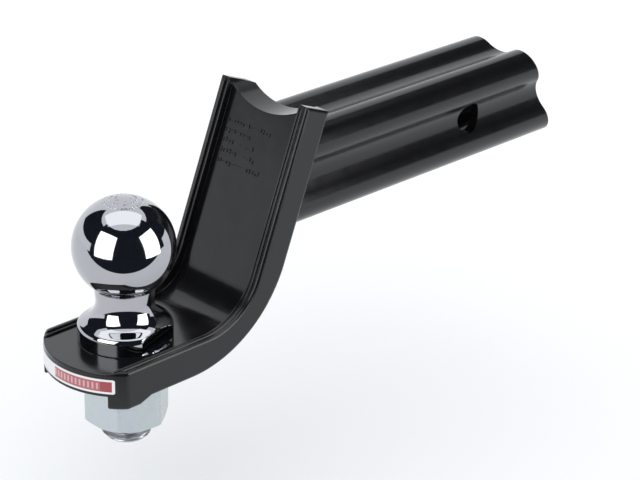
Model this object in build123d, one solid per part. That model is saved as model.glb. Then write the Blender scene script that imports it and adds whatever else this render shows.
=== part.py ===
from build123d import *
import math
import os

# Trailer hitch with ball: a hollow receiver shank, a forged drop plate welded to it,
# and a chromed ball held on the plate's platform by a lock washer and a nut.
# Millimetres. The origin is the centre of the pin hole, on the shank's axis.
# +X runs along the shank towards the vehicle, +Y to its left, +Z up.

# Shank
shank_half = 25.4            # half of the 2 inch square envelope
shank_lobe_radius = 10.5     # rounded corner lobes
shank_valley_depth = 5.0     # how far the concave sides dip below the lobes
shank_wall = 5.0
shank_front = 57.1           # the front end's distance ahead of the pin, on the axis
front_slant = 20.7           # degrees that the front end leans back at its top
pin_hole_radius = 8.33       # for a 5/8 inch pin

# Drop plate
plate_half_width = 31.5
plate_lean = 21.0            # degrees that the upright part leans from vertical
plate_back = 131.0           # where the back face crosses the shank's axis, behind the pin
plate_depth = 16.4           # front of the rims to the back face, square to the face
plate_height = 45.6          # along the lean, from the axis level of the front face to the horns
rim_level = -62.2            # top of the rims beside the ball
rim_width = 6.0
rim_step_width = 2.5         # the rims' lower inner band
rim_step = 0.5
rim_bend_radius = 34.0
rim_edge_radius = 1.8
upper_recess = 3.8           # how far the upright web lies behind the rims
platform_recess = 1.1        # how far the platform lies below the rims
web_bend_radius = 22.0
platform_thickness = 12.0
flange_bottom = -80.0
flange_thickness = 7.0
back_bend_radius = 66.0
channel_depth = 5.0          # hollow behind the lower bend, between the flanges
channel_top = -34.5          # the hollow stops below the shank
nose_radius = 40.0           # convex front, about the ball's axis
nose_corner_radius = 4.0
foot_drop = 2.6              # the flanges' front feet reach this much lower
foot_length = 8.0
foot_run = 7.0               # length over which the foot rises to the flange
scoop_radius = 50.0          # hollow between the horns
scoop_bottom = 31.5

# Weld bead
weld_radius = 4.2            # of the bead's round back, about the joint line

# Ball
ball_back = 223.4            # the ball's axis, behind the pin
ball_radius = 25.4           # 2 inch ball
ball_height = 48.8           # from the seat to the ball's centre
neck_radius = 15.0           # where the neck meets the ball
waist_radius = 13.7          # where the narrowing neck would meet the cone
cone_slope = 31.0            # degrees, from the base's edge up to the neck
cone_blend_radius = 11.0
skirt_radius = 23.6
skirt_height = 8.7
skirt_edge_radius = 3.0
wrench_half = 20.7           # half the distance across the two wrench flats
wrench_turn = 9.0            # degrees, from square across the vehicle
wrench_ledge = 0.8           # height of the round foot below the flats
stud_radius = 12.7           # 1 inch stud
stud_length = 54.0
stud_chamfer = 2.6
neck_blend_radius = 1.6

# Fasteners
stud_clearance = 0.4         # round the stud in the plate and in the washer
thread_clearance = 0.05      # the nut's running fit on the stud
washer_radius = 20.6
washer_thickness = 6.35
washer_split = 2.4
washer_split_angle = 20.0
nut_flats = 38.1
nut_height = 25.4
nut_chamfer_angle = 30.0     # degrees, of the coned faces that round the corners off
nut_turn = 38.2              # degrees, where the nut stopped when tightened

# Label round the nose
label_thickness = 0.3
label_half_angle = 43.0
label_top = 3.9              # below the rims
label_height = 7.6

# Places that follow from these sizes
lean_tan = math.tan(math.radians(plate_lean))
lean_cos = math.cos(math.radians(plate_lean))
lean_sin = math.sin(math.radians(plate_lean))
ball_x = -ball_back
seat_z = rim_level - platform_recess
front_face = -plate_back - plate_depth / lean_cos
web_face = front_face + upper_recess / lean_cos
channel_face = -plate_back - channel_depth / lean_cos
platform_bottom = seat_z - platform_thickness
washer_top = platform_bottom
nut_top = washer_top - washer_thickness
reach = 400.0                # longer than anything that it cuts
touching = 0.01              # an edge this near to a face lies on it


def on_lean(start, z):
    """The point at height z on a leaning line that crosses the axis at x = start."""
    return (start + lean_tan * z, z)


def side_solid(points, half_width):
    """A closed XZ outline carried to both sides of the middle plane."""
    face = make_face(Polyline(*points, close=True))
    return Plane.XZ * extrude(face, amount=half_width, both=True)


def rounded_side_solid(points, rounds, half_width):
    """The same, with some corners rounded: rounds lists (corner, radius)."""
    face = make_face(Polyline(*points, close=True))
    for corner, radius in rounds:
        vertex = face.vertices().sort_by_distance(Vector(*corner, 0))[0]
        face = fillet(vertex, radius=radius)
    return Plane.XZ * extrude(face, amount=half_width, both=True)


def lobed_face(half, lobe_radius, valley_depth):
    """A square outline with round corner lobes joined by tangent concave sides."""
    lobe = half - lobe_radius
    valley_radius = (lobe ** 2 + valley_depth ** 2) / (2 * valley_depth) - lobe_radius
    valley = half - valley_depth + valley_radius
    turn = math.degrees(math.atan2(lobe, valley - lobe))
    arcs = []
    for quarter in range(4):
        spin = 90.0 * quarter
        corner = Vector(lobe, lobe).rotate(Axis.Z, spin)
        side = Vector(0, valley).rotate(Axis.Z, spin)
        arcs.append(CenterArc(corner, lobe_radius, spin - turn, 90.0 + 2 * turn))
        arcs.append(CenterArc(side, valley_radius, spin - 90.0 + turn, -2 * turn))
    return make_face(arcs)


def along_x(face, start, end):
    """A YZ face drawn about the axis, extruded from x = start to x = end."""
    place = Plane(origin=(start, 0, 0), x_dir=(0, 1, 0), z_dir=(1, 0, 0))
    return extrude(place * face, amount=end - start)


def shank_envelope(start, end):
    return along_x(lobed_face(shank_half, shank_lobe_radius, shank_valley_depth), start, end)


def behind_lean(start):
    """Everything on the vehicle's side of a leaning plane."""
    points = [
        on_lean(start, -reach),
        (reach + shank_front, -reach),
        (reach + shank_front, reach),
        on_lean(start, reach),
    ]
    return side_solid(points, reach)


def make_shank():
    inner = lobed_face(shank_half - shank_wall, shank_lobe_radius - shank_wall, shank_valley_depth)
    tube = shank_envelope(-reach, reach) - along_x(inner, -reach, reach)
    tube &= behind_lean(-plate_back)
    slant = math.tan(math.radians(front_slant))
    front = [
        (shank_front + slant * reach, -reach),
        (shank_front - slant * reach, reach),
        (-reach, reach),
        (-reach, -reach),
    ]
    tube &= side_solid(front, reach)
    tube -= Rot(90, 0, 0) * Cylinder(pin_hole_radius, 2 * reach)
    return tube


def plate_blank():
    """The plate's outer shape, before its recesses."""
    front_top = (front_face + lean_sin * plate_height, lean_cos * plate_height)
    back_top = (front_top[0] + lean_cos * plate_depth, front_top[1] - lean_sin * plate_depth)
    nose = ball_x - nose_radius
    corner = ball_x - math.sqrt(nose_radius ** 2 - plate_half_width ** 2)
    rim_corner = on_lean(front_face, rim_level)
    back_corner = on_lean(-plate_back, flange_bottom)
    points = [
        (nose, rim_level),
        rim_corner,
        front_top,
        back_top,
        back_corner,
        (corner + foot_length + foot_run, flange_bottom),
        (corner + foot_length, flange_bottom - foot_drop),
        (nose, flange_bottom - foot_drop),
    ]
    rounds = [(rim_corner, rim_bend_radius), (back_corner, back_bend_radius)]
    blank = rounded_side_solid(points, rounds, plate_half_width)
    plan = Pos(ball_x, 0, 0) * Cylinder(nose_radius, reach)
    plan += Pos(corner + reach / 2, 0, 0) * Box(reach, 2 * plate_half_width, reach)
    blank &= plan
    corners = blank.edges().filter_by(Axis.Z).filter_by(lambda e: e.center().X < ball_x)
    blank = fillet(corners, nose_corner_radius)
    outline = blank.edges().filter_by(lambda e: abs(e.center().Y) > plate_half_width - touching)
    return fillet(outline, rim_edge_radius)


def front_recess(face_start, level, bend_radius, half_width):
    """The space in front of a surface that bends from the platform to the upright part."""
    corner = on_lean(face_start, level)
    nose = ball_x - 2 * nose_radius
    points = [(nose, level), corner, on_lean(face_start, reach), (nose, reach)]
    return rounded_side_solid(points, [(corner, bend_radius)], half_width)


def back_channel():
    """The hollow under the platform and behind the bend, between the flanges."""
    inner_corner = on_lean(channel_face, platform_bottom)
    points = [
        (ball_x - 2 * nose_radius, platform_bottom),
        inner_corner,
        on_lean(channel_face, channel_top),
        on_lean(channel_face + plate_depth, channel_top),
        (0, -reach),
        (ball_x - 2 * nose_radius, -reach),
    ]
    rounds = [(inner_corner, back_bend_radius - channel_depth)]
    return rounded_side_solid(points, rounds, plate_half_width - flange_thickness)


def make_drop_plate():
    plate = plate_blank()
    web_half = plate_half_width - rim_width
    step_face = front_face + rim_step / lean_cos
    step_level = rim_level - rim_step
    step_half = web_half + rim_step_width
    plate -= front_recess(step_face, step_level, rim_bend_radius + rim_step, step_half)
    plate -= front_recess(web_face, seat_z, web_bend_radius, web_half)
    plate -= back_channel()
    plate -= Pos(ball_x, 0, seat_z) * Cylinder(stud_radius + stud_clearance, reach / 2)
    scoop = Rot(0, 90, 0) * Cylinder(scoop_radius, reach)
    scoop &= Box(reach, 2 * web_half, 2 * scoop_radius)
    plate -= Pos(-plate_back, 0, scoop_bottom + scoop_radius) * scoop
    return plate


def make_weld_bead():
    """A round-backed weld bead round the shank, on the plate's back face."""
    normal = (lean_cos, 0, -lean_sin)
    seat = Plane(origin=(-plate_back, 0, 0), x_dir=(0, 1, 0), z_dir=normal)
    footprint = shank_envelope(-reach, reach) & (seat * Rectangle(reach, reach))
    path = footprint.faces()[0].outer_wire()
    section = Plane(origin=path @ 0, z_dir=path % 0) * Circle(weld_radius)
    bead = sweep(section, path=path)
    return (bead & behind_lean(-plate_back)) - shank_envelope(-reach, reach)


def make_hitch_ball():
    """Ball, neck, coned base with two wrench flats, and stud, turned about one axis."""
    junction = ball_height - math.sqrt(ball_radius ** 2 - neck_radius ** 2)
    cone_top = skirt_height + (skirt_radius - waist_radius) * math.tan(math.radians(cone_slope))
    corners = [
        (0, ball_height + ball_radius),
        (0, -stud_length),
        (stud_radius - stud_chamfer, -stud_length),
        (stud_radius, stud_chamfer - stud_length),
        (stud_radius, 0),
        (skirt_radius, 0),
        (skirt_radius, skirt_height),
        (waist_radius, cone_top),
        (neck_radius, junction),
    ]
    sphere_side = ThreePointArc(corners[-1], (ball_radius, ball_height), corners[0])
    turned = make_face(Polyline(*corners) + sphere_side)
    narrowing = neck_radius - waist_radius
    neck_run = junction - cone_top
    turn = math.pi / 2 - math.radians(cone_slope) + math.atan2(narrowing, neck_run)
    neck_room = math.hypot(narrowing, neck_run) - 2 * neck_blend_radius
    cone_blend = min(cone_blend_radius, neck_room / math.tan(turn / 2))
    rounds = [
        (corners[-1], neck_blend_radius),
        (corners[-2], cone_blend),
        (corners[-3], skirt_edge_radius),
    ]
    for corner, radius in rounds:
        vertex = turned.vertices().sort_by_distance(Vector(*corner, 0))[0]
        turned = fillet(vertex, radius=radius)
    ball = revolve(Plane.XZ * turned, Axis.Z)
    beside_flat = Box(reach, reach, cone_top - wrench_ledge, align=(Align.CENTER, Align.MIN, Align.MIN))
    for side in (0, 180):
        ball -= Rot(0, 0, side + wrench_turn) * Pos(0, wrench_half, wrench_ledge) * beside_flat
    return Pos(ball_x, 0, seat_z) * ball


def make_lock_washer():
    ring = Cylinder(washer_radius, washer_thickness) - Cylinder(stud_radius + stud_clearance, reach)
    split = Pos(washer_radius, 0, 0) * Rot(washer_split_angle, 0, 0)
    split *= Box(2 * (washer_radius - stud_radius), washer_split, reach)
    ring -= split
    return Pos(ball_x, 0, washer_top - washer_thickness / 2) * ring


def make_hex_nut():
    flat_to_corner = nut_flats / math.sqrt(3)
    blank = extrude(RegularPolygon(flat_to_corner, 6), amount=nut_height / 2, both=True)
    blank = Rot(0, 0, nut_turn) * blank
    steepness = math.tan(math.radians(nut_chamfer_angle))
    cone_height = (nut_height + nut_flats * steepness) / 2
    cone = Cone(cone_height / steepness, 0, cone_height, align=(Align.CENTER, Align.CENTER, Align.MIN))
    blank &= cone + mirror(cone, Plane.XY)
    blank -= Cylinder(stud_radius + thread_clearance, reach)
    return Pos(ball_x, 0, nut_top - nut_height / 2) * blank


def make_front_label():
    ring = Cylinder(nose_radius + label_thickness, label_height) - Cylinder(nose_radius, reach)
    half_width = (nose_radius + label_thickness) * math.sin(math.radians(label_half_angle))
    ring &= Pos(-nose_radius, 0, 0) * Box(nose_radius, 2 * half_width, label_height)
    return Pos(ball_x, 0, rim_level - label_top - label_height / 2) * ring


makers = {
    "shank": make_shank,
    "drop_plate": make_drop_plate,
    "weld_bead": make_weld_bead,
    "hitch_ball": make_hitch_ball,
    "lock_washer": make_lock_washer,
    "hex_nut": make_hex_nut,
    "front_label": make_front_label,
}

os.makedirs("parts", exist_ok=True)
for name, maker in makers.items():
    export_step(maker(), f"parts/{name}.step")
    print("wrote", name)
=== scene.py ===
import math

import bpy
import numpy as np
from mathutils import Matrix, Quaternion, Vector


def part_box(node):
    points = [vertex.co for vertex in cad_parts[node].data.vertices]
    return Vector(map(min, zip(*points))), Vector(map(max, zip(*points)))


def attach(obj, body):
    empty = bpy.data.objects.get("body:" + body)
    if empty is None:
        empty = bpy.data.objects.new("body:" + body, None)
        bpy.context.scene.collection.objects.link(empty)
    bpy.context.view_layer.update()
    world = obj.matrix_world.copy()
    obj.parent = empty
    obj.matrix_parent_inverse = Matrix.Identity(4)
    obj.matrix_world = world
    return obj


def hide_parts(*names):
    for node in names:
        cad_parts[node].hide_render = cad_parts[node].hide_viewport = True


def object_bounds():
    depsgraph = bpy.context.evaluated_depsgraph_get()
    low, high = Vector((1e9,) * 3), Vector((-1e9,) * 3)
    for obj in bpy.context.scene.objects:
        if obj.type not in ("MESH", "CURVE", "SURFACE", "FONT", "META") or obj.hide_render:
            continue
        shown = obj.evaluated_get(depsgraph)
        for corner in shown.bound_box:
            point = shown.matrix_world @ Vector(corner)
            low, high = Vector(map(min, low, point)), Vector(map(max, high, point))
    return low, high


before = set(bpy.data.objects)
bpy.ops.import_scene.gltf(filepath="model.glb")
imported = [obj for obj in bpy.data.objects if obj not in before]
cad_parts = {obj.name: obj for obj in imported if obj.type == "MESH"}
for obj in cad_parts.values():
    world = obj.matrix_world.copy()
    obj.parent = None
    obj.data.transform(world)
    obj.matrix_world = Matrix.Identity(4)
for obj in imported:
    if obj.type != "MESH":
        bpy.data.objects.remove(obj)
cadLow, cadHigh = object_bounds()
print("frame loaded:", len(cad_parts), "nodes")

mm = 0.001     # shapes are worked out in millimetres, meshes hold metres


# Shapes

# The tangent of an angle in degrees.
def slopeTan(degrees):
    return math.tan(math.radians(degrees))


# Straight runs joined by tangent arcs. At a corner where the path turns by t, an arc of radius r
# begins r tan(t/2) before it and ends as far after it. Points are about one step apart.
def roundedPath(corners, radii, step):
    corners = np.array(corners, float)
    pieces = [corners[:1]]
    for before, corner, after, radius in zip(corners, corners[1:], corners[2:], radii):
        inward = (corner - before) / np.linalg.norm(corner - before)
        outward = (after - corner) / np.linalg.norm(after - corner)
        turn = math.acos(np.clip(inward @ outward, -1, 1))
        reach = radius * math.tan(turn / 2)
        side = outward - inward
        side = side / np.linalg.norm(side)
        centre = corner + side * radius / math.cos(turn / 2)
        startArm = corner - inward * reach - centre
        count = max(3, int(radius * turn / step) + 1)
        share = np.linspace(0, turn, count)[:, None]
        arc = centre + startArm * np.cos(share) + inward * radius * np.sin(share)
        pieces.append(arc)
    pieces.append(corners[-1:])
    sparse = np.concatenate(pieces)
    gaps = np.linalg.norm(np.diff(sparse, axis=0), axis=1)
    distance = np.concatenate([[0], np.cumsum(gaps)])
    extra = [
        np.linspace(a, b, max(2, int((b - a) / step) + 2))[:-1]
        for a, b in zip(distance, distance[1:])
    ]
    places = np.concatenate(extra + [distance[-1:]])
    return np.stack([np.interp(places, distance, sparse[:, k]) for k in (0, 1)], axis=1)


# Rings round the Z axis: x = radius cos(angle), y = radius sin(angle), z = height.
def turnedRings(radius, height, angle):
    return np.stack([radius * np.cos(angle), radius * np.sin(angle), height + 0 * angle], axis=-1)


# Six times the signed volume of a closed surface is the sum of a . (b x c) over its triangles, and it
# is above 0 when the faces point outwards. A quad counts as two triangles.
def facesPointOut(points, quads, triangles):
    a, b, c, d = (points[quads[:, k]] for k in range(4))
    total = np.einsum("ij,ij->", a, np.cross(b, c)) + np.einsum("ij,ij->", a, np.cross(c, d))
    if len(triangles):
        a, b, c = (points[triangles[:, k]] for k in range(3))
        total += np.einsum("ij,ij->", a, np.cross(b, c))
    return total > 0


# rings[i, j] is point j of ring i, and a ring is a closed loop. Each point makes a quad with the next
# point of its ring and the same two of the next ring. Either the last ring meets the first one, or
# each open end is closed by a fan to the mean point of its ring.
def loftSurface(rings, closed):
    rows, columns = rings.shape[:2]
    grid = np.arange(rows * columns).reshape(rows, columns)
    here = grid if closed else grid[:-1]
    ahead = np.roll(grid, -1, axis=0) if closed else grid[1:]
    quads = np.stack([here, np.roll(here, -1, 1), np.roll(ahead, -1, 1), ahead], axis=-1).reshape(-1, 4)
    points = rings.reshape(-1, 3)
    triangles = np.zeros((0, 3), int)
    if not closed:
        first = np.full(columns, rows * columns)
        start = np.stack([first, np.roll(grid[0], -1), grid[0]], axis=-1)
        end = np.stack([first + 1, grid[-1], np.roll(grid[-1], -1)], axis=-1)
        triangles = np.concatenate([start, end])
        points = np.concatenate([points, rings[:1].mean(1), rings[-1:].mean(1)])
    if not facesPointOut(points, quads, triangles):
        quads, triangles = quads[:, ::-1], triangles[:, ::-1]
    return points, quads, triangles


def makePiece(name, surface, material, body, sharpAngle=35, replaced=()):
    points, quads, triangles = surface
    mesh = bpy.data.meshes.new(name)
    mesh.from_pydata((points * mm).tolist(), [], quads.tolist() + triangles.tolist())
    mesh.shade_smooth()
    mesh.set_sharp_from_angle(angle=math.radians(sharpAngle))
    mesh.materials.append(material)
    piece = bpy.data.objects.new(name, mesh)
    bpy.context.scene.collection.objects.link(piece)
    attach(piece, body)
    if replaced:
        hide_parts(*replaced)
    return piece


# Materials

# One material: its main shader, the object's own coordinates and the nodes that feed the sockets.
class Shading:
    def __init__(self, name):
        self.material = bpy.data.materials.new(name)
        self.material.use_nodes = True
        self.tree = self.material.node_tree
        self.shader = self.tree.nodes["Principled BSDF"]
        self.place = self.tree.nodes.new("ShaderNodeTexCoord").outputs["Object"]

    def set(self, **values):
        for name, value in values.items():
            self.shader.inputs[name.replace("_", " ")].default_value = value

    def link(self, output, name):
        self.tree.links.new(output, self.shader.inputs[name])

    # A socket is fed by a link, and a plain value is set on it.
    def node(self, kind, inputs=(), **settings):
        made = self.tree.nodes.new("ShaderNode" + kind)
        for name, value in settings.items():
            setattr(made, name, value)
        for key, value in dict(inputs).items():
            if isinstance(value, bpy.types.NodeSocket):
                self.tree.links.new(value, made.inputs[key])
            else:
                made.inputs[key].default_value = value
        return made

    def stretched(self, scale):
        return self.node("Mapping", {"Vector": self.place, "Scale": scale}).outputs[0]

    def noise(self, scale, detail=2.0, vector=None):
        inputs = {"Vector": vector or self.place, "Scale": scale, "Detail": detail}
        return self.node("TexNoise", inputs).outputs["Fac"]

    def ramp(self, value, low, high, bottom, top):
        inputs = {"Value": value, "From Min": low, "From Max": high, "To Min": bottom, "To Max": top}
        return self.node("MapRange", inputs).outputs["Result"]

    def math(self, operation, first, second=0.0):
        return self.node("Math", {0: first, 1: second}, operation=operation).outputs[0]

    def blend(self, share, first, second):
        inputs = {"Factor": share, "A": first, "B": second}
        made = self.node("Mix", {}, data_type="RGBA")
        for key, value in inputs.items():
            socket = next(s for s in made.inputs if s.name == key and s.enabled)
            if isinstance(value, bpy.types.NodeSocket):
                self.tree.links.new(value, socket)
            else:
                socket.default_value = value
        return next(s for s in made.outputs if s.enabled)

    # layers lists (height from 0 to 1, depth in metres), the coarse one first.
    def relief(self, layers, edgeRadius=None):
        normal = None
        if edgeRadius:
            normal = self.node("Bevel", {"Radius": edgeRadius}, samples=4).outputs[0]
        for height, depth in layers:
            inputs = {"Height": height, "Distance": depth, "Strength": 1.0}
            if normal:
                inputs["Normal"] = normal
            normal = self.node("Bump", inputs).outputs[0]
        self.link(normal, "Normal")


blackCoatLook = {
    "dark": (0.004, 0.004, 0.0045, 1),
    "light": (0.007, 0.007, 0.008, 1),
    "patchScale": 45,
    "peelScale": 420,
    "peelDepth": 0.008 * mm,
    "forgeScale": 42,
    "forgeDepth": 0.14 * mm,
    "grainScale": 2600,
    "grainDepth": 0.002 * mm,
    "roughness": (0.15, 0.22),
    "roughnessScale": 135,
    "noiseSpan": (0.3, 0.7),    # noise values that the roughness runs between
    "specular": 0.38,
    "coatWeight": 0.1,
    "coatRoughness": 0.1,
    "edgeRadius": 0.8 * mm,
}

# Rolled steel is smoother than the forging.
shankLook = dict(
    blackCoatLook,
    forgeScale=24,
    forgeDepth=0.04 * mm,
    peelDepth=0.004 * mm,
    roughness=(0.2, 0.25),
    edgeRadius=None,
)


def blackCoatMaterial(name, look):
    coat = Shading(name)
    coat.set(
        Specular_IOR_Level=look["specular"],
        Coat_Weight=look["coatWeight"],
        Coat_Roughness=look["coatRoughness"],
    )
    patches = coat.noise(look["patchScale"], 4)
    coat.link(coat.blend(patches, look["dark"], look["light"]), "Base Color")
    gloss = coat.noise(look["roughnessScale"], 5)
    coat.link(coat.ramp(gloss, *look["noiseSpan"], *look["roughness"]), "Roughness")
    layers = [
        (coat.noise(look["forgeScale"], 2), look["forgeDepth"]),
        (coat.noise(look["peelScale"], 2), look["peelDepth"]),
        (coat.noise(look["grainScale"], 1), look["grainDepth"]),
    ]
    coat.relief(layers, look["edgeRadius"])
    return coat.material


chromeLook = {
    "colour": (0.42, 0.43, 0.45, 1),
    "smudge": (0.38, 0.39, 0.41, 1),
    "smudgeScale": 70,
    "smudgeSpan": (0.45, 0.75),     # noise values that the smudges fade in between
    "smudgeShare": 0.6,
    "roughness": (0.025, 0.075),
    "roughnessSpan": (0.35, 0.75),
    "studRoughness": 0.34,
    "studFade": 2 * mm,
    "waveScale": 110,
    "waveDepth": 0.006 * mm,
}


def chromeMaterial(seatHeight):
    chrome = Shading("polishedChrome")
    chrome.set(Metallic=1.0)
    smudges = chrome.noise(chromeLook["smudgeScale"], 5)
    faint = chrome.ramp(smudges, *chromeLook["smudgeSpan"], 0.0, chromeLook["smudgeShare"])
    chrome.link(chrome.blend(faint, chromeLook["colour"], chromeLook["smudge"]), "Base Color")
    polish = chrome.ramp(smudges, *chromeLook["roughnessSpan"], *chromeLook["roughness"])
    height = chrome.node("SeparateXYZ", {0: chrome.place}).outputs["Z"]
    fadeEnd = seatHeight - chromeLook["studFade"]
    onStud = chrome.ramp(height, seatHeight, fadeEnd, 0.0, chromeLook["studRoughness"])
    chrome.link(chrome.math("MAXIMUM", polish, onStud), "Roughness")
    chrome.relief([(chrome.noise(chromeLook["waveScale"], 1), chromeLook["waveDepth"])])
    return chrome.material


zincLook = {
    "colour": (0.55, 0.59, 0.6, 1),
    "blueTint": (0.5, 0.55, 0.61, 1),
    "greenTint": (0.52, 0.6, 0.57, 1),
    "tintScale": 38,
    "tintSpan": (0.4, 0.65),
    "mottleScale": 228,
    "spangleScale": 300,
    "spangleSpan": (0.3, 0.7),
    "roughness": (0.26, 0.33),
    "turningScale": (300, 300, 1500),
    "turningDepth": 0.0006 * mm,
}


def zincMaterial():
    zinc = Shading("brightZinc")
    zinc.set(Metallic=1.0)
    tint = zinc.ramp(zinc.noise(zincLook["tintScale"], 3), *zincLook["tintSpan"], 0.0, 1.0)
    shade = zinc.blend(tint, zincLook["blueTint"], zincLook["greenTint"])
    mottle = zinc.noise(zincLook["mottleScale"], 4)
    zinc.link(zinc.blend(mottle, zincLook["colour"], shade), "Base Color")
    spangle = zinc.noise(zincLook["spangleScale"], 3)
    zinc.link(zinc.ramp(spangle, *zincLook["spangleSpan"], *zincLook["roughness"]), "Roughness")
    lines = zinc.noise(1.0, 2, zinc.stretched(zincLook["turningScale"]))
    zinc.relief([(lines, zincLook["turningDepth"])])
    return zinc.material


# The shank and the plate keep their CAD shape.

blackCoat = blackCoatMaterial("glossBlackCoat", blackCoatLook)
shankCoat = blackCoatMaterial("smoothBlackCoat", shankLook)
for node, coat in (("shank", shankCoat), ("drop_plate", blackCoat)):
    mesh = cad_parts[node].data
    mesh.materials.clear()
    mesh.materials.append(coat)
print("shank and plate coated")


# Ball

ballSize = {
    "radius": 25.4,
    "centreHeight": 48.8,
    "neckRadius": 15.0,
    "neckBlend": 1.6,
    "waistRadius": 13.7,
    "coneSlope": 31.0,
    "coneBlend": 11.0,
    "skirtRadius": 23.6,
    "skirtHeight": 8.7,
    "skirtEdge": 3.0,
    "footEdge": 0.5,
    "wrenchHalf": 20.7,
    "wrenchTurn": 9.0,
    "ledge": 0.8,
    "ledgeRise": 0.25,
    "studRadius": 12.7,
    "studLength": 54.0,
    "studChamfer": 2.6,
    "threadTop": -6.0,
    "threadPitch": 3.175,
    "threadDepth": 1.7,
    "threadCrest": 0.12,        # share of half a pitch that stays flat
    "threadFlank": 0.7,         # share of half a pitch from the crest to the root
    "threadFade": 3.0,
    "studFillet": 0.3,
    "drillRadius": 2.4,
    "drillSlope": 60.0,
    "columns": 220,
    "step": 0.4,
    "poleAngle": 0.004,
    "fineAngle": 0.5,           # the top, with the stamped ticks, has closer rows
    "fineRows": 64,
    "sphereRows": 52,
    "blendRows": 10,
    "threadRows": 122,
    "endRows": 16,
}

# Each ring of ticks: the arc from the pole to its two edges, and how many cells it has.
stampLook = {
    "rings": ((3.0, 4.4, 11), (6.0, 7.7, 22), (9.2, 10.5, 34)),
    "depth": 0.16,
    "tickWidth": (0.18, 0.4),
    "tickSpread": 1.6,
    "edge": 0.14,
    "fill": 0.8,
    "seed": 4,
}


# 0 outside low..high and 1 inside, with a smooth slope of the given width at each end.
def plateau(value, low, high, width):
    return np.clip((value - low) / width, 0, 1) * np.clip((high - value) / width, 0, 1)


# How deep the ball's top is stamped: in each ring of cells, some cells hold a tick across the ring.
# The depth is full within the tick's width of its cell's middle line, and slopes to 0 over the edge.
def stampDepth(arcLength, angle):
    depth = 0 * arcLength * angle
    draw = np.random.default_rng(stampLook["seed"])
    for low, high, cells in stampLook["rings"]:
        chosen = draw.random(cells) < stampLook["fill"]
        wide = draw.uniform(*stampLook["tickWidth"], cells)
        share = (angle / (2 * np.pi) % 1) * cells
        cell = share.astype(int) % cells
        across = np.abs(share - cell - 0.5) * (2 * np.pi * (low + high) / 2 / cells)
        reach = wide[cell] * stampLook["tickSpread"]
        stroke = chosen[cell] * np.clip((reach - across) / stampLook["edge"], 0, 1)
        inRing = plateau(arcLength, low, high, stampLook["edge"])
        depth = np.maximum(depth, stampLook["depth"] * stroke * inRing)
    return depth


# A right-hand thread: the groove is deepest half a pitch from the crest, whose height grows by one
# pitch a turn. depth * |2 frac(z/pitch - angle/2pi) - 1|, with crest and root made flat.
def threadGroove(height, angle, size):
    phase = (height / size["threadPitch"] - angle / (2 * np.pi)) % 1
    ramp = np.abs(2 * phase - 1)
    return size["threadDepth"] * np.clip((ramp - size["threadCrest"]) / size["threadFlank"], 0, 1)


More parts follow.
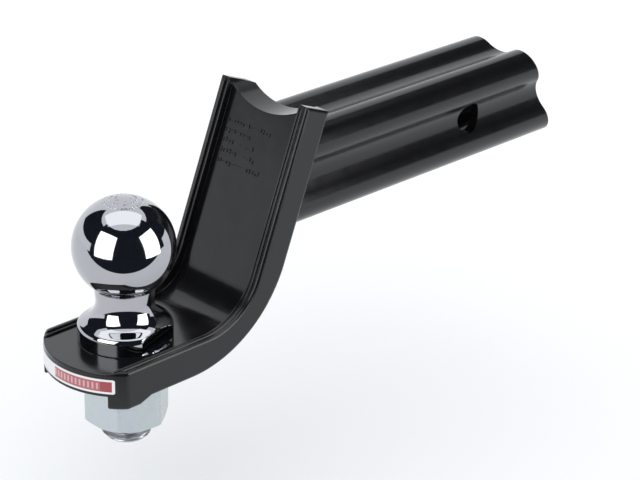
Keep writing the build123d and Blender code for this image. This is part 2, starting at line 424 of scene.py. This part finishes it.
# A profile of radius and height above the seat, turned about the axis: the sphere, a fillet, the neck,
# the cone, the skirt, the stud and its drilled end. The sphere is pushed in by the stamp's depth, the
# base's radius is at most the flats' half distance over cos of the angle from a flat's middle, and
# the stud's radius loses the thread's groove and is at most a chamfer's at its end.
def ballSurface(size):
    radius, centre = size["radius"], size["centreHeight"]
    neck, blend = size["neckRadius"], size["neckBlend"]
    jointRadius = neck + blend
    jointHeight = centre - math.sqrt((radius + blend) ** 2 - jointRadius ** 2)
    lastPolar = math.acos((jointHeight - centre) / (radius + blend))
    polar = np.concatenate([
        np.linspace(size["poleAngle"], size["fineAngle"], size["fineRows"], endpoint=False),
        np.linspace(size["fineAngle"], lastPolar, size["sphereRows"]),
    ])
    sphere = np.stack([radius * np.sin(polar), centre + radius * np.cos(polar)], axis=1)
    away = math.atan2(centre - jointHeight, -jointRadius)
    swing = np.linspace(away, math.pi, size["blendRows"])[1:]
    fillet = np.stack([jointRadius + blend * np.cos(swing), jointHeight + blend * np.sin(swing)], axis=1)
    coneRise = (size["skirtRadius"] - size["waistRadius"]) * slopeTan(size["coneSlope"])
    coneTop = size["skirtHeight"] + coneRise
    corners = [
        (neck, jointHeight - 0.05),
        (size["waistRadius"], coneTop),
        (size["skirtRadius"], size["skirtHeight"]),
        (size["skirtRadius"], 0),
        (size["studRadius"], 0),
        (size["studRadius"], size["threadTop"]),
    ]
    radii = [size["coneBlend"], size["skirtEdge"], size["footEdge"], size["studFillet"]]
    base = roundedPath(corners, radii, size["step"])
    threadEnd = -size["studLength"]
    threadHeights = np.linspace(size["threadTop"], threadEnd, size["threadRows"])[1:]
    thread = np.stack([0 * threadHeights + size["studRadius"], threadHeights], axis=1)
    endRadius = np.linspace(size["studRadius"] - size["studChamfer"], 0.05, size["endRows"])
    endRise = np.clip(size["drillRadius"] - endRadius, 0, None) * slopeTan(size["drillSlope"])
    endFace = np.stack([endRadius, threadEnd + endRise], axis=1)
    profile = np.concatenate([sphere, fillet, base, thread, endFace])
    # A column of points lies on each upright edge of the two flats.
    halfFlat = math.acos(size["wrenchHalf"] / size["skirtRadius"]) / math.pi
    edges = np.array([-halfFlat, halfFlat, 1 - halfFlat, 1 + halfFlat, 2 - halfFlat])
    share = np.arange(size["columns"]) / size["columns"] * 2 - halfFlat
    nearest = np.round((edges + halfFlat) * size["columns"] / 2) * 2 / size["columns"] - halfFlat
    fromFlat = (np.interp(share, nearest, edges) * math.pi)[None, :]
    angle = fromFlat + math.radians(size["wrenchTurn"] + 90)
    across, height = profile[:, :1] + 0 * angle, profile[:, 1:]
    onSphere = np.arange(len(profile))[:, None] < len(polar)
    stamped = stampDepth(radius * np.arctan2(across, height - centre), angle)
    across = np.where(onSphere, across - stamped * across / radius, across)
    lift = np.where(onSphere, -stamped * (height - centre) / radius, 0)
    rise = np.clip((height - size["ledge"]) / size["ledgeRise"], 0, 1)
    flat = size["wrenchHalf"] + (1 - rise) * (size["skirtRadius"] - size["wrenchHalf"])
    flatReach = flat / np.maximum(np.abs(np.cos(fromFlat)), 0.05)
    besideFlat = (height > size["ledge"]) & (height < coneTop)
    across = np.where(besideFlat, np.minimum(across, flatReach), across)
    groove = threadGroove(height, angle, size)
    groove = groove * np.clip((size["threadTop"] - height) / size["threadFade"], 0, 1)
    chamfer = size["studRadius"] - np.clip(size["studChamfer"] - (height - threadEnd), 0, None)
    onThread = (height <= size["threadTop"]) & (across > size["studRadius"] - 0.01)
    across = np.where(onThread, np.minimum(across - groove, chamfer), across)
    return loftSurface(turnedRings(across, height + lift, angle), closed=False)


ballLow, ballHigh = (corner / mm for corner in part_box("hitch_ball"))
ballAxis = (ballLow + ballHigh) / 2
seatHeight = ballHigh.z - ballSize["radius"] - ballSize["centreHeight"]
onBallAxis = np.array([ballAxis.x, ballAxis.y, seatHeight])


def movedSurface(surface, offset):
    return surface[0] + offset, surface[1], surface[2]


chrome = chromeMaterial(seatHeight * mm)
ball = movedSurface(ballSurface(ballSize), onBallAxis)
makePiece("towBall", ball, chrome, "ball", 24, ("hitch_ball",))
print("ball made")


# Nut

nutSize = {
    "flats": 38.1,
    "turn": 8.2,             # degrees, to the middle of one flat
    "chamferSlope": 30.0,
    "cornerCut": 0.45,
    "boreChamfer": 1.6,
    "threadGap": 0.16,
    "faceInset": 0.3,
    "boreInset": 0.4,
    "columns": 216,
    "crowding": 0.11,        # brings more columns near the corners
    "coneRows": 14,
    "wallRows": 8,
    "faceRows": 10,
    "boreRows": 84,
}


# Hexagon: half the flats over cos of the angle from the nearest flat's middle. The ends are coned,
# so the radius there is also at most half the flats, less a small inset, plus the distance from the
# end over tan(slope). The bore's radius is the stud's less the thread's groove, plus a gap.
def nutSurface(size, low, high):
    middle, half = (low + high) / 2, (high - low) / 2
    share = np.arange(size["columns"]) / size["columns"] * 6
    sector, part = np.floor(share), share % 1
    crowded = part + size["crowding"] * np.sin(2 * np.pi * part)
    fromFlat = (crowded - 0.5) * np.pi / 3
    angle = (math.radians(size["turn"]) + sector * np.pi / 3 + fromFlat)[None, :]
    hexReach = (size["flats"] / 2 / np.cos(fromFlat))[None, :]
    hexReach = np.minimum(hexReach, size["flats"] / math.sqrt(3) - size["cornerCut"])
    coneDrop = (size["flats"] / math.sqrt(3) - size["flats"] / 2) * slopeTan(size["chamferSlope"])
    outer = np.concatenate([
        np.linspace(-half, -half + coneDrop, size["coneRows"], endpoint=False),
        np.linspace(-half + coneDrop, half - coneDrop, size["wallRows"], endpoint=False),
        np.linspace(half - coneDrop, half, size["coneRows"]),
    ])[:, None]
    faceRadius = size["flats"] / 2 - size["faceInset"]
    wall = np.minimum(hexReach, faceRadius + (half - np.abs(outer)) / slopeTan(size["chamferSlope"]))
    boreEdge = ballSize["studRadius"] + size["boreChamfer"] - size["boreInset"]
    faceShare = np.linspace(0, 1, size["faceRows"])[1:-1, None]
    topFace = faceRadius * (1 - faceShare) + boreEdge * faceShare + 0 * angle
    bore = np.linspace(half, -half, size["boreRows"])[:, None]
    groove = threadGroove(bore + middle - seatHeight, angle, ballSize)
    threaded = ballSize["studRadius"] - groove + size["threadGap"]
    mouth = boreEdge - (half - np.abs(bore))
    threaded = np.maximum(threaded, mouth)
    radius = np.concatenate([wall + 0 * angle, topFace, threaded, topFace[::-1]])
    height = np.concatenate([outer, half + 0 * faceShare, bore, -half + 0 * faceShare])
    return loftSurface(turnedRings(radius, height + middle, angle), closed=True)


nutLow, nutHigh = (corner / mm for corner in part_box("hex_nut"))
zinc = zincMaterial()
axisPlace = np.array([ballAxis.x, ballAxis.y, 0])
nut = nutSurface(nutSize, nutLow.z, nutHigh.z)
makePiece("threadedNut", movedSurface(nut, axisPlace), zinc, "nut", 28, ("hex_nut",))
print("nut made")


# Lock washer

washerSize = {
    "outer": 20.6,
    "inner": 13.1,
    "edge": 0.6,
    "split": 2.4,
    "splitSlope": 20.0,
    "columns": 180,
    "step": 0.5,
}


# A rounded rectangle carried round the axis. Each end plane leans by the split's slope, so a point's
# angle is moved by half the split plus its height times tan(slope), over its radius.
def washerSurface(size, low, high):
    half = (high - low) / 2
    inner, outer, middle = size["inner"], size["outer"], (size["inner"] + size["outer"]) / 2
    corners = [(middle, half), (outer, half), (outer, -half), (inner, -half), (inner, half), (middle, half)]
    section = roundedPath(corners, [size["edge"]] * 4, size["step"])[:-1]
    radius, height = section[:, 0][None, :], section[:, 1][None, :]
    share = np.linspace(0, 1, size["columns"])[:, None]
    lean = height * slopeTan(size["splitSlope"])
    start = np.arcsin((size["split"] / 2 - lean) / radius)
    end = 2 * np.pi + np.arcsin((-size["split"] / 2 - lean) / radius)
    angle = start + (end - start) * share
    return loftSurface(turnedRings(radius, height + (low + high) / 2, angle), closed=False)


washerLow, washerHigh = (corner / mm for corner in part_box("lock_washer"))
washer = washerSurface(washerSize, washerLow.z, washerHigh.z)
makePiece("springWasher", movedSurface(washer, axisPlace), zinc, "washer", 40, ("lock_washer",))
print("washer made")


# Weld

weldSize = {
    "shankHalf": 25.4,
    "lobeRadius": 10.5,
    "valleyDepth": 5.0,
    "plateBack": 131.0,
    "lean": 21.0,
    "beadRadius": 4.1,
    "ripplePitch": 2.1,
    "rippleHeight": 0.4,
    "ripplePower": 0.8,
    "bow": 1.4,
    "wander": 0.25,
    "waves": (3, 4, 5, 6, 7),      # of the wander, in one turn round the shank
    "overlap": 18.0,               # degrees that the bead runs on into the plate and the shank
    "rootDepth": 0.8,
    "rows": 620,
    "columns": 22,
    "arcPoints": 90,
    "seed": 11,
}


# The shank's outline by the distance along it: per quarter a corner lobe and a concave side, both
# arcs. Returns Y, Z and the outward direction at evenly spaced distances.
def lobedOutline(size, count):
    lobe = size["shankHalf"] - size["lobeRadius"]
    valleyRadius = (lobe ** 2 + size["valleyDepth"] ** 2) / (2 * size["valleyDepth"]) - size["lobeRadius"]
    valley = size["shankHalf"] - size["valleyDepth"] + valleyRadius
    turn = math.atan2(lobe, valley - lobe)
    lobeArc = np.linspace(-turn, np.pi / 2 + turn, size["arcPoints"], endpoint=False)
    sideArc = np.linspace(-np.pi / 2 + turn, -np.pi / 2 - turn, size["arcPoints"], endpoint=False)
    lobeOut = np.stack([np.cos(lobeArc), np.sin(lobeArc)], 1)
    lobePoints = lobe + size["lobeRadius"] * lobeOut
    sidePoints = np.stack([valleyRadius * np.cos(sideArc), valley + valleyRadius * np.sin(sideArc)], 1)
    sideOut = -np.stack([np.cos(sideArc), np.sin(sideArc)], 1)
    quarter = np.concatenate([lobePoints, sidePoints])
    quarterOut = np.concatenate([lobeOut, sideOut])
    quarterTurn = np.array([[0, 1], [-1, 0]])
    turns = [np.linalg.matrix_power(quarterTurn, k) for k in range(4)]
    points = np.concatenate([quarter @ t for t in turns])
    outward = np.concatenate([quarterOut @ t for t in turns])
    looped = np.concatenate([points, points[:1]])
    distance = np.concatenate([[0], np.cumsum(np.linalg.norm(np.diff(looped, axis=0), axis=1))])
    places = np.linspace(0, distance[-1], count, endpoint=False)
    at = np.stack([np.interp(places, distance, looped[:, k]) for k in (0, 1)], 1)
    outLooped = np.concatenate([outward, outward[:1]])
    out = np.stack([np.interp(places, distance, outLooped[:, k]) for k in (0, 1)], 1)
    return at, out / np.linalg.norm(out, axis=1)[:, None], places


# A fan of the bead's radius about the joint line, from the plate's face round to the shank's side.
# The radius is the bead's less rippleHeight (1 - |cos(2 pi distance / pitch - bow)| ^ ripplePower),
# plus a wander, which is a mean of slow sines. The bow changes round the fan and curves the ripples.
def weldSurface(size):
    at, out, distance = lobedOutline(size, size["rows"])
    lean = slopeTan(size["lean"])
    joint = np.stack([-size["plateBack"] + lean * at[:, 1], at[:, 0], at[:, 1]], 1)
    alongPlate = np.stack([lean * out[:, 1], out[:, 0], out[:, 1]], 1)
    alongPlate = alongPlate / np.linalg.norm(alongPlate, axis=1)[:, None]
    alongShank = np.array([1.0, 0, 0])
    first, last = math.radians(-size["overlap"]), math.radians(90 + size["overlap"])
    fan = np.linspace(first, last, size["columns"] - 1)[None, :]
    bow = size["bow"] * np.cos(fan * 2 - math.pi / 2)
    cycles = round(distance[-1] / size["ripplePitch"])
    ripple = np.cos(2 * np.pi * (distance[:, None] / distance[-1] * cycles) - bow)
    draw = np.random.default_rng(size["seed"])
    waves = np.array(size["waves"])
    phases = draw.uniform(0, 2 * np.pi, len(waves))
    wave = np.sin(distance[:, None] / distance[-1] * 2 * np.pi * waves + phases).sum(1) / len(waves)
    swell = size["rippleHeight"] * np.abs(ripple) ** size["ripplePower"]
    radius = size["beadRadius"] - size["rippleHeight"] + swell + size["wander"] * wave[:, None]
    arms = np.cos(fan)[..., None] * alongPlate[:, None, :] + np.sin(fan)[..., None] * alongShank
    rings = joint[:, None, :] + radius[..., None] * arms
    inside = joint - size["rootDepth"] * alongPlate
    rings = np.concatenate([rings, inside[:, None, :]], axis=1)
    return loftSurface(rings, closed=True)


weldLook = dict(blackCoatLook, forgeScale=240, forgeDepth=0.08 * mm, edgeRadius=None)
weldCoat = blackCoatMaterial("weldCoat", weldLook)
weld = weldSurface(weldSize)
makePiece("weldRipples", weld, weldCoat, "ball_mount", 60, ("weld_bead",))
print("weld made")


# Label

labelSize = {
    "radius": 40.0,
    "thickness": 0.28,
    "sunk": 0.02,
    "halfAngle": 43.0,
    "cornerRadius": 0.9,
    "columns": 160,
    "rows": 24,
}

# Places along the strip and heights from its middle are shares of its length and its height.
labelLook = {
    "silver": (0.62, 0.64, 0.66, 1),
    "white": (0.78, 0.77, 0.76, 1),
    "pink": (0.62, 0.36, 0.37, 1),
    "red": (0.4, 0.11, 0.12, 1),
    "deepRed": (0.32, 0.04, 0.05, 1),
    "panelEnds": (0.42, 0.975),
    "panelHalf": 0.36,
    "endBlock": 0.88,
    "stripes": 26,
    "stripeShare": 0.42,
    "stripeHalf": 0.22,
    "silverSpan": (0.1, 0.5),
    "metallic": 0.7,
    "roughness": 0.28,
    "coatWeight": 0.6,
    "coatRoughness": 0.1,
    "grainScale": 900,
    "grainDepth": 0.006 * mm,
}


# A strip bent round the ball's axis: angle along it, height across it. Past the start of a corner its
# half length is drawn in to the length less the corner's radius plus sqrt(radius^2 - past^2).
def labelSurface(size, low, high):
    half, middle = (high - low) / 2, (high + low) / 2
    across = np.linspace(-1, 1, size["rows"])
    share = np.linspace(-1, 1, size["columns"])[:, None]
    length = size["radius"] * math.radians(size["halfAngle"])
    corner = size["cornerRadius"]
    past = np.clip(np.abs(across) * half - (half - corner), 0, corner)
    reach = (length - corner + np.sqrt(corner ** 2 - past ** 2)) / size["radius"]
    angle = np.pi - share * reach[None, :]
    top = size["radius"] + size["thickness"]
    outside = turnedRings(top, middle + half * across, angle)
    inside = turnedRings(size["radius"] - size["sunk"], middle + half * across, angle)
    rings = np.concatenate([outside, inside[:, ::-1]], axis=1)
    return loftSurface(rings, closed=False), share, across


# A silver strip that fades to white, with a panel of pink and red stripes and a deep red end.
def labelMaterial(look):
    ink = Shading("printedLabel")
    ink.set(
        Roughness=look["roughness"],
        Coat_Weight=look["coatWeight"],
        Coat_Roughness=look["coatRoughness"],
    )
    uv = ink.node("SeparateXYZ", {0: ink.node("UVMap", uv_map="alongLabel").outputs[0]})
    along, across = uv.outputs["X"], uv.outputs["Y"]
    fromMiddle = ink.math("ABSOLUTE", ink.math("SUBTRACT", across, 0.5))
    panelStart, panelEnd = look["panelEnds"]
    inPanel = ink.math("LESS_THAN", fromMiddle, look["panelHalf"])
    afterStart = ink.math("GREATER_THAN", along, panelStart)
    inEnds = ink.math("MULTIPLY", afterStart, ink.math("LESS_THAN", along, panelEnd))
    inPanel = ink.math("MULTIPLY", inPanel, inEnds)
    wave = ink.math("FRACT", ink.math("MULTIPLY", along, look["stripes"]))
    onStripe = ink.math("LESS_THAN", wave, look["stripeShare"])
    inBand = ink.math("LESS_THAN", fromMiddle, look["stripeHalf"])
    panel = ink.blend(ink.math("MULTIPLY", onStripe, inBand), look["red"], look["pink"])
    panel = ink.blend(ink.math("GREATER_THAN", along, look["endBlock"]), panel, look["deepRed"])
    fade = ink.ramp(along, *look["silverSpan"], 0.0, 1.0)
    edge = ink.blend(fade, look["silver"], look["white"])
    ink.link(ink.blend(inPanel, edge, panel), "Base Color")
    ink.link(ink.ramp(fade, 0.0, 1.0, look["metallic"], 0.0), "Metallic")
    ink.relief([(ink.noise(look["grainScale"], 2), look["grainDepth"])])
    return ink.material


labelLow, labelHigh = (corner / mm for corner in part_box("front_label"))
labelShape, labelShare, labelAcross = labelSurface(labelSize, labelLow.z, labelHigh.z)
labelShape = movedSurface(labelShape, axisPlace)
ink = labelMaterial(labelLook)
label = makePiece("noseLabel", labelShape, ink, "ball_mount", 50, ("front_label",))
alongUv = np.repeat((1 - labelShare) / 2, 2 * labelSize["rows"], axis=1)
acrossUv = np.concatenate([labelAcross, labelAcross[::-1]])[None, :] / 2 + 0.5 + 0 * alongUv
pointUv = np.concatenate([np.stack([alongUv, acrossUv], -1).reshape(-1, 2), [[0, 0.5], [1, 0.5]]])
cornerPoint = np.zeros(len(label.data.loops), np.int32)
label.data.loops.foreach_get("vertex_index", cornerPoint)
uvLayer = label.data.uv_layers.new(name="alongLabel")
uvLayer.data.foreach_set("uv", pointUv[cornerPoint].astype(np.float32).ravel())
print("label made")


# Raised marks on the plate: short strokes in rows, as a forging die leaves them.

markSize = {
    "plateBack": 131.0,
    "lean": 21.0,
    "depth": 16.4,
    "recess": 3.8,
    "rows": 5,
    "firstUp": 24.0,           # along the lean, from the shank's axis
    "rowPitch": 5.3,
    "left": 21.0,
    "rightEnds": (-12.5, 0.5, -3.5, -6.0, -12.0),
    "strokePitch": 2.1,
    "strokeHeight": 2.9,
    "strokeWidth": 1.1,
    "shortest": 0.55,          # share of the stroke's height
    "flatShare": 0.3,          # of the strokes lie across the row
    "flatWidth": 1.5,
    "flatHeight": 0.6,
    "scatter": (0.25, 0.5),    # across and up
    "relief": 0.6,
    "sunk": 0.05,
    "rootDepth": 0.4,
    "grid": (7, 5),
    "skip": 0.1,
    "seed": 8,
}


# Each stroke is a small pillow: a grid whose height is relief * (1 - u^2) * (1 - v^4).
def markSurface(size):
    draw = np.random.default_rng(size["seed"])
    across, up, width, height = [], [], [], []
    sideways, upwards = size["scatter"]
    for row, right in enumerate(size["rightEnds"]):
        count = int((size["left"] - right) / size["strokePitch"])
        kept = draw.random(count) > size["skip"]
        places = size["left"] - np.arange(count)[kept] * size["strokePitch"]
        flat = draw.random(len(places)) < size["flatShare"]
        tall = size["strokeHeight"] * draw.uniform(size["shortest"], 1.0, len(places))
        across.append(places + draw.uniform(-sideways, sideways, len(places)))
        rowUp = size["firstUp"] - row * size["rowPitch"]
        up.append(rowUp + draw.uniform(-upwards, upwards, len(places)))
        width.append(np.where(flat, size["flatWidth"], size["strokeWidth"]))
        height.append(np.where(flat, size["flatHeight"], tall))
    across, up, width, height = (np.concatenate(x)[:, None, None] for x in (across, up, width, height))
    v, u = np.meshgrid(*(np.linspace(-1, 1, count) for count in size["grid"]), indexing="ij")
    ends = (1 - u ** 2) * (1 - v ** 4)
    lean = math.radians(size["lean"])
    webFace = -size["plateBack"] - (size["depth"] - size["recess"]) / math.cos(lean)
    y = across + u * width / 2
    along = up + v * height / 2
    lift = size["relief"] * ends - size["sunk"] + 0 * y
    x = webFace + along * math.sin(lean) - lift * math.cos(lean)
    z = along * math.cos(lean) + lift * math.sin(lean)
    inward = np.array([math.cos(lean), 0, -math.sin(lean)])
    return pillowSurface(np.stack([x, y, z], -1), size["rootDepth"] * inward)


# A closed pillow from each open grid: its edge points are joined to its mean point moved by sunk.
def pillowSurface(tops, sunk):
    count, rows, columns = tops.shape[:3]
    each = rows * columns
    grid = np.arange(each).reshape(rows, columns)
    quads = np.stack([grid[:-1, :-1], grid[:-1, 1:], grid[1:, 1:], grid[1:, :-1]], -1).reshape(-1, 4)
    rim = np.concatenate([grid[0, :-1], grid[:-1, -1], grid[-1, :0:-1], grid[:0:-1, 0]])
    fan = np.stack([np.roll(rim, -1), rim, np.full(len(rim), each)], -1)
    hidden = tops.reshape(count, each, 3).mean(1) + sunk
    points = np.concatenate([tops.reshape(count, each, 3), hidden[:, None]], 1)
    shift = (np.arange(count) * (each + 1))[:, None, None]
    quads = (quads[None] + shift).reshape(-1, 4)
    fan = (fan[None] + shift).reshape(-1, 3)
    points = points.reshape(-1, 3)
    if not facesPointOut(points, quads, fan):
        quads, fan = quads[:, ::-1], fan[:, ::-1]
    return points, quads, fan


fineCoat = blackCoatMaterial("fineBlackCoat", dict(blackCoatLook, edgeRadius=None))
makePiece("forgedMarks", markSurface(markSize), fineCoat, "ball_mount", 60)
print("marks made")


# Thin raised lines along both edges of the rims' steps, as the forging die leaves them.

beadSize = {
    "lean": 21.0,
    "rimFace": -148.57,        # the rims' front face at the shank's height
    "rimLevel": -62.2,
    "bendRadius": 34.0,
    "topUp": 44.6,             # along the lean
    "taper": 2.0,
    "rootDepth": 0.1,
    "step": 0.7,
    "columns": 14,
    # Each line's distance from the middle, depth below the rim, radius and front end.
    "lines": ((28.2, 0.0, 0.8, -250.0), (25.7, 0.5, 0.65, -252.3)),
}


# A tube of the line's radius along the rims' face: level, bent, then leaning. Its radius falls to
# nearly nothing at both ends as sqrt(1 - t^2), where t grows from 0 to almost 1 along the taper.
def beadSurface(size, side, sunk, radius, frontEnd):
    lean = math.radians(size["lean"])
    face, level = size["rimFace"] + sunk / math.cos(lean), size["rimLevel"] - sunk
    corner = (face + level * math.tan(lean), level)
    top = (face + size["topUp"] * math.sin(lean), size["topUp"] * math.cos(lean))
    path = roundedPath([(frontEnd, level), corner, top], [size["bendRadius"] + sunk], size["step"])
    along = np.gradient(path, axis=0)
    along = along / np.linalg.norm(along, axis=1)[:, None]
    outward = np.stack([-along[:, 1], along[:, 0]], 1)
    distance = np.concatenate([[0], np.cumsum(np.linalg.norm(np.diff(path, axis=0), axis=1))])
    nearEnd = np.minimum(distance, distance[-1] - distance)
    toEnd = np.clip(1 - nearEnd / size["taper"], 0, 0.995)
    width = (radius * np.sqrt(1 - toEnd ** 2))[:, None]
    turn = np.linspace(0, 2 * np.pi, size["columns"], endpoint=False)[None, :]
    lift = width * np.sin(turn) - size["rootDepth"]
    x = path[:, :1] + outward[:, :1] * lift
    z = path[:, 1:] + outward[:, 1:] * lift
    return loftSurface(np.stack([x, side + width * np.cos(turn), z], -1), closed=False)


for index, (side, sunk, radius, frontEnd) in enumerate(beadSize["lines"]):
    for hand, sign in (("Left", 1), ("Right", -1)):
        bead = beadSurface(beadSize, sign * side, sunk, radius, frontEnd)
        makePiece(f"rimLine{hand}{index}", bead, fineCoat, "ball_mount", 60)
print("rim lines made")


# Studio

studio = {
    "floorDrop": 0.04,
    "floorHalf": 6.0,
    "floorColour": (0.94, 0.94, 0.94, 1),
    "floorRoughness": 0.6,
    "cardColour": (0.016, 0.02, 0.026, 1),
    "cardRoughness": 0.9,
    "worldColour": (0.95, 0.97, 1.0, 1),
    "worldStrength": 1.18,
    "cameraPlace": (-0.812873, -0.720223, 0.419695),
    "aim": (-0.066935, 0.022978, -0.067440),
    "roll": 1.415,
    "lens": 119.66,
    "sensorWidth": 36,
    "cameraTurn": -39.3,       # degrees, the camera's side seen from the ball
    "curtainDistance": 2.4,
    # Each curtain's first and last turn, its lowest and highest rise and how many strips it has.
    "curtains": {
        "frontCurtain": ((-78, 96), (-8, 40), 8),
        "frontCurtainTop": ((-78, 96), (40, 58), 8),
        "leftCurtain": ((-140, -78), (11, 50), 4),
        "rightCurtain": ((96, 150), (9, 48), 4),
    },
    # The cloth's near and far edge, its half width and its height above the floor.
    "cloth": (0.208, 2.6, 3.0, 1 * mm),
    # Each softbox's turn, rise, distance, width, height and power.
    "softboxes": {
        "leftSoftbox": (-45, 19, 0.9, 0.72, 0.86, 6.5),
        "rightSoftbox": (64, 15, 0.55, 0.38, 0.49, 2.25),
        "topSoftbox": (0, 90, 1.0, 1.25, 0.62, 1.9),
    },
}

ballCentre = Vector((ballAxis.x, ballAxis.y, ballHigh.z - ballSize["radius"])) * mm

def plainMaterial(name, colour, roughness):
    plain = Shading(name)
    plain.set(Base_Color=colour, Roughness=roughness, Specular_IOR_Level=0.0)
    return plain.material


# The point that is seen from the ball in a direction: turn is from the camera's side, to the right.
def fromBall(turn, rise, distance):
    around, up = math.radians(turn + studio["cameraTurn"]), math.radians(rise)
    level = math.cos(up)
    back = Vector((math.sin(around) * level, -math.cos(around) * level, math.sin(up)))
    return ballCentre + back * distance


# A flat card that only reflections show.
def addCard(name, corners, material):
    mesh = bpy.data.meshes.new(name)
    mesh.from_pydata([tuple(c) for c in corners], [], [(0, 1, 2, 3)])
    mesh.materials.append(material)
    card = bpy.data.objects.new(name, mesh)
    bpy.context.scene.collection.objects.link(card)
    card.visible_camera = False
    card.visible_shadow = False
    card.visible_diffuse = False


# A softbox that faces the ball from a turn and a rise, level with the floor along its width.
def addSoftbox(name, turn, rise, distance, width, height, power):
    lamp = bpy.data.lights.new(name, "AREA")
    lamp.shape = "RECTANGLE"
    lamp.size, lamp.size_y = width, height
    lamp.energy = power
    box = bpy.data.objects.new(name, lamp)
    bpy.context.scene.collection.objects.link(box)
    box.location = fromBall(turn, rise, distance)
    box.rotation_euler = (math.radians(90 - rise), 0, math.radians(turn + studio["cameraTurn"]))
    box.visible_camera = False
    box.visible_diffuse = False


floorHeight = cadLow.z - studio["floorDrop"]
floorMesh = bpy.data.meshes.new("floor")
half = studio["floorHalf"]
floorCorners = [(-half, -half), (half, -half), (half, half), (-half, half)]
floorMesh.from_pydata([(x, y, floorHeight) for x, y in floorCorners], [], [(0, 1, 2, 3)])
floorPaint = plainMaterial("paleFloor", studio["floorColour"], studio["floorRoughness"])
floorMesh.materials.append(floorPaint)
floor = bpy.data.objects.new("floor", floorMesh)
bpy.context.scene.collection.objects.link(floor)

darkCard = plainMaterial("darkCard", studio["cardColour"], studio["cardRoughness"])


# A curtain round the ball between two turns and two rises, in flat strips.
def addCurtain(name, turns, rises, strips):
    distance = studio["curtainDistance"]
    edges = np.linspace(turns[0], turns[1], strips + 1)
    for index, (left, right) in enumerate(zip(edges, edges[1:])):
        corners = [
            fromBall(left, rises[0], distance),
            fromBall(right, rises[0], distance),
            fromBall(right, rises[1], distance),
            fromBall(left, rises[1], distance),
        ]
        addCard(f"{name}{index}", corners, darkCard)


for name, (turns, rises, strips) in studio["curtains"].items():
    addCurtain(name, turns, rises, strips)

# A dark cloth on the floor: its near edge is straight and square to the camera's direction.
near, far, clothHalf, clothLift = studio["cloth"]
toward, aside = fromBall(0, 0, 1.0) - ballCentre, fromBall(90, 0, 1.0) - ballCentre
clothCentre = Vector((ballCentre.x, ballCentre.y, floorHeight + clothLift))
clothCorners = [(near, -clothHalf), (near, clothHalf), (far, clothHalf), (far, -clothHalf)]
cloth = [clothCentre + toward * ahead + aside * right for ahead, right in clothCorners]
addCard("frontCloth", cloth, darkCard)

for name, settings in studio["softboxes"].items():
    addSoftbox(name, *settings)

world = bpy.data.worlds.new("softWorld")
bpy.context.scene.world = world
world.use_nodes = True
sky = world.node_tree.nodes["Background"]
sky.inputs["Color"].default_value = studio["worldColour"]
sky.inputs["Strength"].default_value = studio["worldStrength"]

cameraData = bpy.data.cameras.new("camera")
cameraData.lens = studio["lens"]
cameraData.sensor_width = studio["sensorWidth"]
camera = bpy.data.objects.new("camera", cameraData)
bpy.context.scene.collection.objects.link(camera)
camera.location = studio["cameraPlace"]
camera.rotation_mode = "QUATERNION"
look = (Vector(studio["aim"]) - camera.location).to_track_quat("-Z", "Y")
camera.rotation_quaternion = look @ Quaternion((0, 0, 1), math.radians(studio["roll"]))
bpy.context.scene.camera = camera
bpy.context.scene.view_settings.view_transform = "Standard"
print("studio made")
